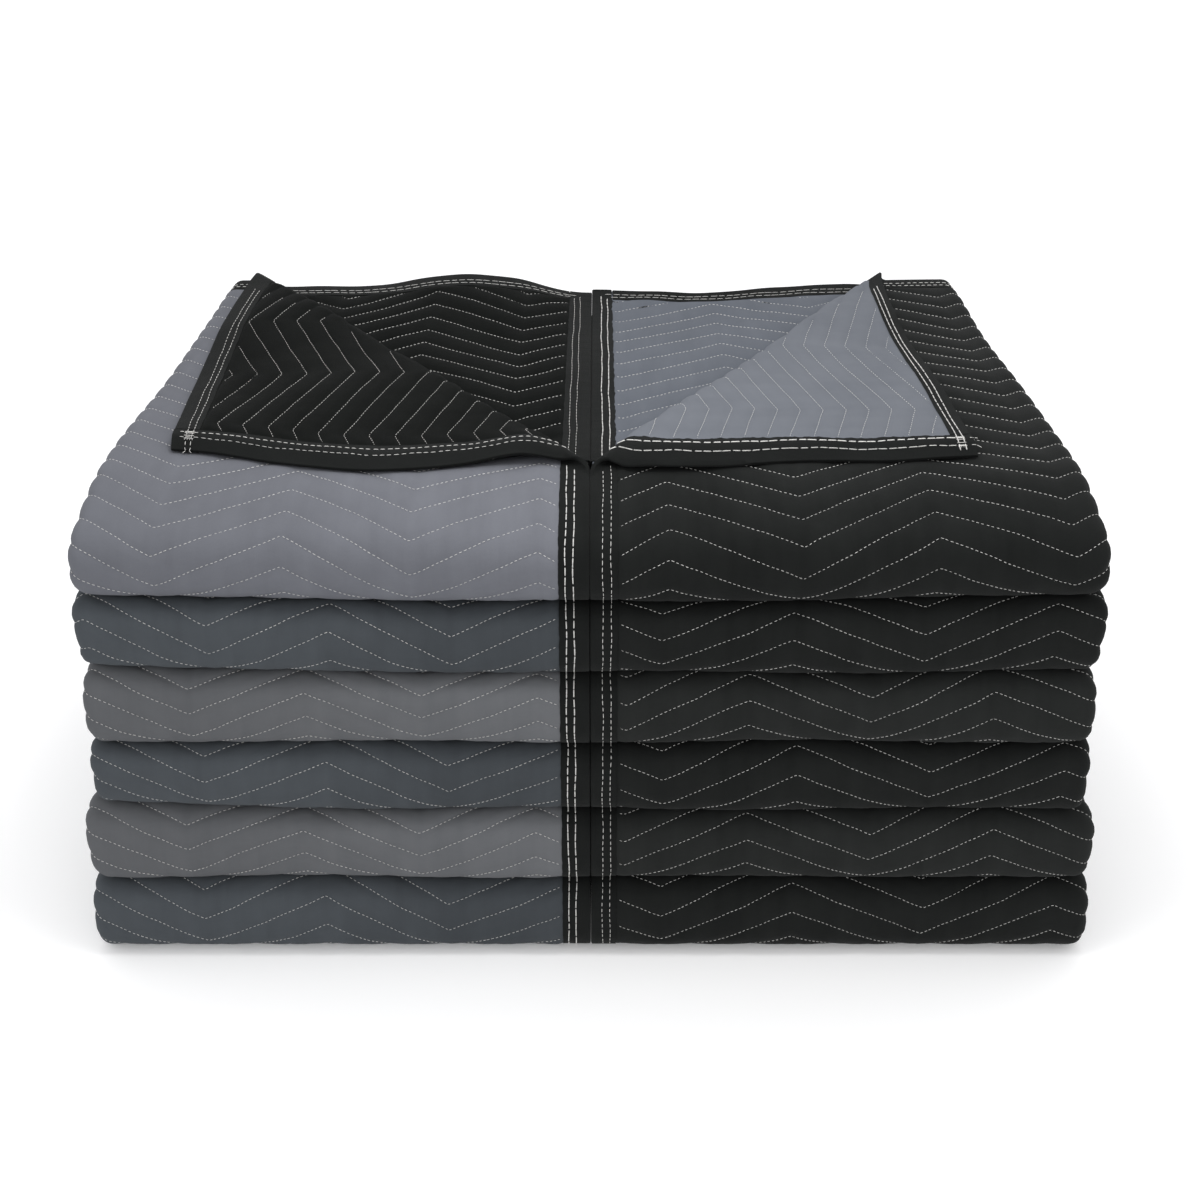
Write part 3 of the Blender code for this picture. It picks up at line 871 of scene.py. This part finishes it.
def sew_line(thread, blanket, face, w, u, shown, kind, seed, lift=0.0):
    """Sews along a line of the cloth where it is shown."""
    lift = np.zeros_like(w) + lift
    for number, (a, b) in enumerate(runs_of(shown)):
        points = on_face(blanket, face, w[a:b], u[a:b], lift[a:b] + kind["radius"] * 0.4)
        above = on_face(blanket, face, w[a:b], u[a:b], lift[a:b] + 0.001)
        thread.sew(points, above - points, kind, seed + number * 977)


def sew_quilting(thread, blanket):
    """The zigzag rows of one blanket, wherever they show."""
    level_seed = blanket.level * 1000 + (0 if blanket.sign < 0.0 else 500)
    pitch, first = blanket.side["zigzag"][blanket.level][3:5]
    across = np.arange(blanket.tape + 0.0008, blanket.turn_x + blanket.turn_length, LINE_STEP)
    for row in range(-2, math.ceil(blanket.length / pitch) + 2):
        seed = level_seed + row + 7
        wander = 0.0006 * ripple(across * 60.0, seed)
        u = first + row * pitch + blanket.zigzag(across) + wander
        inside = (u > blanket.tape + 0.001) & (u < blanket.length - 0.01)
        x = np.minimum(across, blanket.turn_x)
        y = BACK - u
        on_turn = across > blanket.turn_x - 0.004
        front = (u > blanket.front_start - 0.02) & (u < blanket.front_end + 0.02)
        back = (u > blanket.back_start - 0.02) & (u < blanket.back_end + 0.02)
        shown = on_turn | front | back
        if blanket.is_top:
            on_top = u < blanket.front_start
            beyond = blanket.beyond_crease(x, y)
            bare = (beyond < 0.004) & ~blanket.under_flap(x, y)
            shown = shown | (on_top & bare)
            sew_line(thread, blanket, "under", across, u,
                     inside & on_top & (beyond > 0.007) & ~on_turn, STITCH, seed + 31)
        sew_line(thread, blanket, "outer", across, u, inside & shown, STITCH, seed)
    if not blanket.is_top:
        return
    pitch, first = blanket.side["second"][3:5]
    across = np.arange(blanket.tape + 0.0008, blanket.turn_x, LINE_STEP)
    for row in range(-2, math.ceil(DEPTH / pitch) + 2):
        seed = level_seed + row + 307
        u = first + row * pitch + blanket.zigzag(across, True)
        u = u + 0.0006 * ripple(across * 60.0, seed)
        beyond = blanket.beyond_crease(across, BACK - u)
        shown = (u > blanket.tape + 0.001) & (u < blanket.front_start) & (beyond > -0.008)
        sew_line(thread, blanket, "second", across, u, shown, STITCH, seed)


def sew_tapes(thread, blanket):
    """The two rows of stitches along each bound edge."""
    rise = TAPE_CLEAR + TAPE_WALL + 0.0003
    bold = blanket.sign < 0.0
    outer_kind, under_kind = (BOLD_STITCH, TAPE_STITCH) if bold else (TAPE_STITCH, BOLD_STITCH)
    seed = blanket.level * 100 + (0 if bold else 50)

    def sew_row(face, w, u, shown, kind, shift):
        lift = rise - blanket.relief(w, u, face == "second")
        sew_line(thread, blanket, face, w, u, shown, kind, seed + shift, lift)

    for number, distance in enumerate(blanket.side["tape_rows"]):
        u = np.arange(0.003, blanket.front_end + 0.03, LINE_STEP)
        w = distance + 0.0007 * ripple(u * 38.0, seed + number * 3.0)
        beyond = blanket.beyond_crease(w, BACK - u)
        shown = u > blanket.front_start - 0.04
        if blanket.is_top:
            shown = beyond < 0.0
            sew_row("under", w, u, beyond > 0.008, under_kind, 11 + number)
        sew_row("outer", w, u, shown, outer_kind, number)
        # Along the back edge
        w = np.arange(0.003, blanket.turn_x + blanket.turn_length, LINE_STEP)
        u = distance + 0.0007 * ripple(w * 38.0, seed + number * 5.0)
        if not blanket.is_top:
            sew_row("outer", w, u, w > blanket.turn_x - 0.01, TAPE_STITCH, 21)
            continue
        beyond = blanket.beyond_crease(np.minimum(w, blanket.turn_x), BACK - u)
        sew_row("outer", w, u, beyond < 0.0, TAPE_STITCH, 21)
        sew_row("under", w, u, beyond > 0.008, under_kind, 23)
        w = np.arange(distance, blanket.side["crease_back"], LINE_STEP)
        u = distance + 0.0007 * ripple(w * 38.0, seed + number * 7.0)
        sew_row("second", w, u, w > 0.0, FINE_STITCH, 25)
        u = np.arange(distance, BACK - blanket.side["crease_front"] + 0.02, LINE_STEP)
        w = distance + 0.0007 * ripple(u * 38.0, seed + number * 9.0)
        sew_row("second", w, u, u > 0.0, under_kind, 27)


def sew_corner(thread, blanket):
    """The turned corner's bar tack, and the loose ends of its rows, which curl off the edge."""
    rise = TAPE_CLEAR + TAPE_WALL
    near, far = blanket.side["tape_rows"]
    for number in range(4):
        across = near - 0.0010 + (far - near + 0.002) * number / 3.0
        for w, u in (((near - 0.003, far + 0.003), (across, across)),
                     ((across, across), (near - 0.003, far + 0.003))):
            w, u = np.array(w), np.array(u)
            ends = on_face(blanket, "under", w, u, rise - blanket.relief(w, u) + 0.0006)
            thread.loose(ends, STITCH["radius"])
    if blanket.sign < 0.0:
        curls = (((0.004, near), (-0.001, near + 0.002), (-0.004, near - 0.001)),
                 ((0.004, far), (-0.002, far - 0.001), (-0.005, far + 0.002)))
    else:
        curls = (((near, 0.004), (near + 0.001, -0.003), (near, -0.010)),
                 ((far, 0.004), (far, -0.003), (far + 0.001, -0.009)))
    for curl in curls:
        w = np.array([place[0] for place in curl])
        u = np.array([place[1] for place in curl])
        held_w, held_u = np.maximum(w, CURL_HOLD), np.maximum(u, CURL_HOLD)
        ends = on_face(blanket, "under", held_w, held_u,
                       rise - blanket.relief(held_w, held_u) + 0.0004)
        # Past the edge the thread carries on level, with a slight droop
        step = on_face(blanket, "under", held_w + 0.001, held_u, rise) - ends
        away = on_face(blanket, "under", held_w, held_u + 0.001, rise) - ends
        step[:, 2] = 0.0
        away[:, 2] = 0.0
        ends = ends + step * ((w - held_w) / 0.001)[:, None] + away * ((u - held_u) / 0.001)[:, None]
        ends[:, 2] -= 0.15 * np.maximum(held_w - w, held_u - u)
        thread.loose(ends, STITCH["radius"])


def make_stitching(blanket):
    """All the stitches of one blanket as one piece."""
    thread = Thread()
    sew_quilting(thread, blanket)
    sew_tapes(thread, blanket)
    if blanket.is_top:
        sew_corner(thread, blanket)
    name = "stitching_" + blanket.name
    mesh = bpy.data.meshes.new(name)
    mesh.from_pydata(np.concatenate(thread.verts).tolist(), [], thread.faces)
    mesh.update()
    mesh.shade_smooth()
    return add_piece(name, mesh, [THREAD])


# Materials

def shader_of(name):
    """A new material and its shader node."""
    made = bpy.data.materials.new(name)
    made.use_nodes = True
    return made, made.node_tree.nodes["Principled BSDF"]


def add_node(made, kind, inputs=None, **settings):
    """Adds a node, sets its properties and its inputs, which are values or other outputs."""
    tree = made.node_tree
    node = tree.nodes.new(kind)
    for key, value in settings.items():
        setattr(node, key, value)
    for key, value in (inputs or {}).items():
        if isinstance(value, bpy.types.NodeSocket):
            tree.links.new(value, node.inputs[key])
        else:
            node.inputs[key].default_value = value
    return node


def blend(made, factor, dark, light):
    """The output of a mix between two colours."""
    mixed = add_node(made, "ShaderNodeMix", {"Factor": factor, 6: (*dark, 1.0), 7: (*light, 1.0)},
                     data_type="RGBA")
    return mixed.outputs[2]


def cloth(name, dark, light, weave=0.35, outer=1.0, shine=1.0):
    """Woven and felted cloth: fine weave, specks, soft mottling and faint streaks, and a painted
    light falloff across the sheet.
    """
    made, shader = shader_of(name)
    place = add_node(made, "ShaderNodeUVMap", uv_map="cloth").outputs["UV"]
    mottle = add_node(made, "ShaderNodeTexNoise",
                      {"Vector": place, "Scale": 11.0, "Detail": 5.0, "Roughness": 0.6})
    stretched = add_node(made, "ShaderNodeMapping", {"Vector": place, "Scale": (60.0, 9.0, 1.0)})
    streaks = add_node(made, "ShaderNodeTexNoise",
                       {"Vector": stretched.outputs[0], "Scale": 1.0, "Detail": 4.0})
    specks = add_node(made, "ShaderNodeTexNoise",
                      {"Vector": place, "Scale": 900.0, "Detail": 3.0, "Roughness": 0.7})
    both = add_node(made, "ShaderNodeMix", {"Factor": 0.5, 2: mottle.outputs[0],
                                            3: streaks.outputs[0]})
    all_three = add_node(made, "ShaderNodeMix", {"Factor": 0.28, 2: both.outputs[0],
                                                 3: specks.outputs[0]})
    spread = add_node(made, "ShaderNodeMapRange",
                      {"Value": all_three.outputs[0], "From Min": 0.30, "From Max": 0.70})
    colour = blend(made, spread.outputs[0], dark, light)
    # Painted light falloff: the colour is scaled by outer towards the outer side, away from the
    # bound edge
    across = add_node(made, "ShaderNodeSeparateXYZ", {"Vector": place})
    painted_light_falloff = add_node(made, "ShaderNodeMapRange",
                     {"Value": across.outputs[0], "From Min": 0.06, "From Max": 0.42,
                      "To Min": 1.0, "To Max": outer}, interpolation_type="SMOOTHSTEP")
    shaded = add_node(made, "ShaderNodeMix", {"Factor": 1.0, 6: colour, 7: painted_light_falloff.outputs[0]},
                      data_type="RGBA", blend_type="MULTIPLY")
    made.node_tree.links.new(shaded.outputs[2], shader.inputs["Base Color"])

    yarns = {"Vector": place, "Scale": 260.0, "Distortion": 0.6, "Detail": 1.0}
    warp = add_node(made, "ShaderNodeTexWave", yarns, bands_direction="X").outputs["Fac"]
    weft = add_node(made, "ShaderNodeTexWave", yarns, bands_direction="Y").outputs["Fac"]
    woven = add_node(made, "ShaderNodeMath", {0: warp, 1: weft}, operation="MULTIPLY")
    grain = add_node(made, "ShaderNodeMath", {0: woven.outputs[0], 1: specks.outputs[0]},
                     operation="ADD")
    wrinkle = add_node(made, "ShaderNodeTexNoise",
                       {"Vector": place, "Scale": 46.0, "Detail": 3.0, "Roughness": 0.5})
    low = add_node(made, "ShaderNodeBump", {"Strength": 0.35, "Distance": 0.0022,
                                            "Height": wrinkle.outputs[0]})
    fine = add_node(made, "ShaderNodeBump", {"Strength": weave, "Distance": 0.0005,
                                             "Height": grain.outputs[0],
                                             "Normal": low.outputs[0]})
    made.node_tree.links.new(fine.outputs[0], shader.inputs["Normal"])
    shader.inputs["Roughness"].default_value = 0.93
    shader.inputs["Specular IOR Level"].default_value = 0.10 * shine
    shader.inputs["Sheen Weight"].default_value = 0.03 * shine
    shader.inputs["Sheen Roughness"].default_value = 0.45
    return made


def thread_material():
    """Off-white sewing thread, twisted."""
    made, shader = shader_of("thread")
    place = add_node(made, "ShaderNodeTexCoord").outputs["Object"]
    uneven = add_node(made, "ShaderNodeTexNoise", {"Vector": place, "Scale": 700.0})
    colour = blend(made, uneven.outputs[0], (0.50, 0.49, 0.47), (0.86, 0.85, 0.82))
    made.node_tree.links.new(colour, shader.inputs["Base Color"])
    bump = add_node(made, "ShaderNodeBump", {"Strength": 0.4, "Distance": 0.0002,
                                             "Height": uneven.outputs[0]})
    made.node_tree.links.new(bump.outputs[0], shader.inputs["Normal"])
    shader.inputs["Roughness"].default_value = 0.75
    return made


THREAD = thread_material()
TAPE_CLOTH = cloth("binding", (0.0050, 0.0056, 0.0054), (0.0105, 0.0115, 0.0110), weave=0.5)
# The outer factors scale each grey towards the outer side of its sheet: painted light falloff
GREY_TOP = cloth("grey_top", (0.116, 0.120, 0.136), (0.152, 0.158, 0.178), outer=0.92)
GREY_SLATE = cloth("grey_slate", (0.039, 0.044, 0.049), (0.056, 0.063, 0.070), outer=1.24)
GREY_WARM = cloth("grey_warm", (0.100, 0.104, 0.111), (0.132, 0.136, 0.144), outer=0.82)
GREY_BACK = cloth("grey_reverse", (0.112, 0.121, 0.139), (0.148, 0.158, 0.178))
# A darker copy of the reverse grey: painted shade that the turned corner casts on the right column's
# bare second sheet
GREY_SECOND_PAINTED_SHADE = cloth("grey_second_painted_shade", (0.089, 0.098, 0.115), (0.118, 0.128, 0.148))
BLACK = cloth("black_face", (0.0060, 0.0067, 0.0064), (0.0126, 0.0137, 0.0131))
BLACK_WORN = cloth("black_worn", (0.0100, 0.0110, 0.0105), (0.0190, 0.0204, 0.0197))
BLACK_BACK = cloth("black_reverse", (0.0026, 0.0031, 0.0028), (0.0062, 0.0070, 0.0064), shine=0.5)


def cloth_faces(blanket):
    """A blanket's cloths: the one that shows in its column, the reverse, and the second sheet's,
    which on the right is a darker reverse grey as painted shade from the turned corner.
    """
    if blanket.sign > 0.0:
        return [BLACK_WORN if blanket.level in (1, 3) else BLACK, GREY_BACK, GREY_SECOND_PAINTED_SHADE]
    if blanket.is_top:
        return [GREY_TOP, BLACK_BACK, BLACK_BACK]
    return [GREY_WARM if blanket.level in (1, 3) else GREY_SLATE, BLACK_BACK, BLACK_BACK]


# The stage

def build_stage():
    """A pale floor, a bright soft surround and three soft lights."""
    bm = bmesh.new()
    bmesh.ops.create_grid(bm, x_segments=2, y_segments=2, size=9.0)
    mesh = bpy.data.meshes.new("floor")
    bm.to_mesh(mesh)
    bm.free()
    floor = bpy.data.objects.new("floor", mesh)
    floor.location = (0.0, 3.0, 0.0)
    made, shader = shader_of("floor")
    place = add_node(made, "ShaderNodeTexCoord").outputs["Object"]
    faint = add_node(made, "ShaderNodeTexNoise", {"Vector": place, "Scale": 2.0})
    colour = blend(made, faint.outputs[0], (0.96, 0.96, 0.96), (0.98, 0.98, 0.98))
    made.node_tree.links.new(colour, shader.inputs["Base Color"])
    shader.inputs["Roughness"].default_value = 0.9
    shader.inputs["Emission Color"].default_value = (1.0, 1.0, 1.0, 1.0)
    shader.inputs["Emission Strength"].default_value = 0.12
    mesh.materials.append(made)
    bpy.context.scene.collection.objects.link(floor)

    world = bpy.data.worlds.new("surround")
    world.use_nodes = True
    world.node_tree.nodes["Background"].inputs["Color"].default_value = (0.99, 0.99, 1.0, 1.0)
    world.node_tree.nodes["Background"].inputs["Strength"].default_value = 1.02
    bpy.context.scene.world = world
    bpy.context.scene.view_settings.view_transform = "Standard"

    lights = (
        # name, place, aim, size, watts
        ("overhead", (0.10, 0.35, 2.6), (0.0, 0.0, 0.4), 1.8, 9.0),
        ("front", (0.35, -2.6, 1.9), (-0.1, -0.2, 0.3), 1.6, 5.0),
        ("middle", (0.02, -0.42, 1.42), (-0.10, -0.24, 0.54), 0.4, 4.0),
    )
    for name, spot, aim, size, watts in lights:
        data = bpy.data.lights.new(name, "AREA")
        data.shape = "DISK"
        data.size = size
        data.energy = watts
        lamp = bpy.data.objects.new(name, data)
        lamp.location = spot
        lamp.rotation_euler = aimed(spot, aim)
        bpy.context.scene.collection.objects.link(lamp)


def aimed(spot, aim):
    """The turn that points a lamp or camera from one place at another."""
    run = [b - a for a, b in zip(spot, aim)]
    flat = math.hypot(run[0], run[1])
    return (math.atan2(flat, -run[2]), 0.0, math.atan2(run[1], run[0]) - math.pi / 2.0)


def build_camera():
    """The photo's view: 1200 pixels square, looking down by 30 degrees from the front."""
    focal_pixels = 1788.0
    photo_pixels = 1200.0
    down = 30.46
    data = bpy.data.cameras.new("camera")
    data.sensor_width = 36.0
    data.lens = focal_pixels / photo_pixels * data.sensor_width
    camera = bpy.data.objects.new("camera", data)
    camera.location = (0.0100, FRONT - 1.5, 1.338)
    camera.rotation_euler = (math.radians(90.0 - down), 0.0, 0.0)
    bpy.context.scene.collection.objects.link(camera)
    bpy.context.scene.camera = camera


def main():
    """Makes each column's blankets from the bottom up."""
    for side in SIDES:
        for level in range(LEVELS):
            blanket = Blanket(side, level)
            seed = level * 3.7 + (0.0 if blanket.sign < 0.0 else 1.9)
            pad = make_pad(blanket, cloth_faces(blanket))
            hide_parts("blanket_" + blanket.name)
            edging = side_tape(blanket, False, seed)
            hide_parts("side_binding_" + blanket.name)
            end = end_tape(blanket, seed + 1.0)
            sewn = [edging, end, make_stitching(blanket)]
            if blanket.is_top:
                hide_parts("end_binding_" + blanket.name,
                            "inner_end_binding_" + blanket.name)
                inner = side_tape(blanket, True, seed + 2.0)
                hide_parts("inner_binding_" + blanket.name)
                sewn.append(inner)


build_stage()
build_camera()
main()
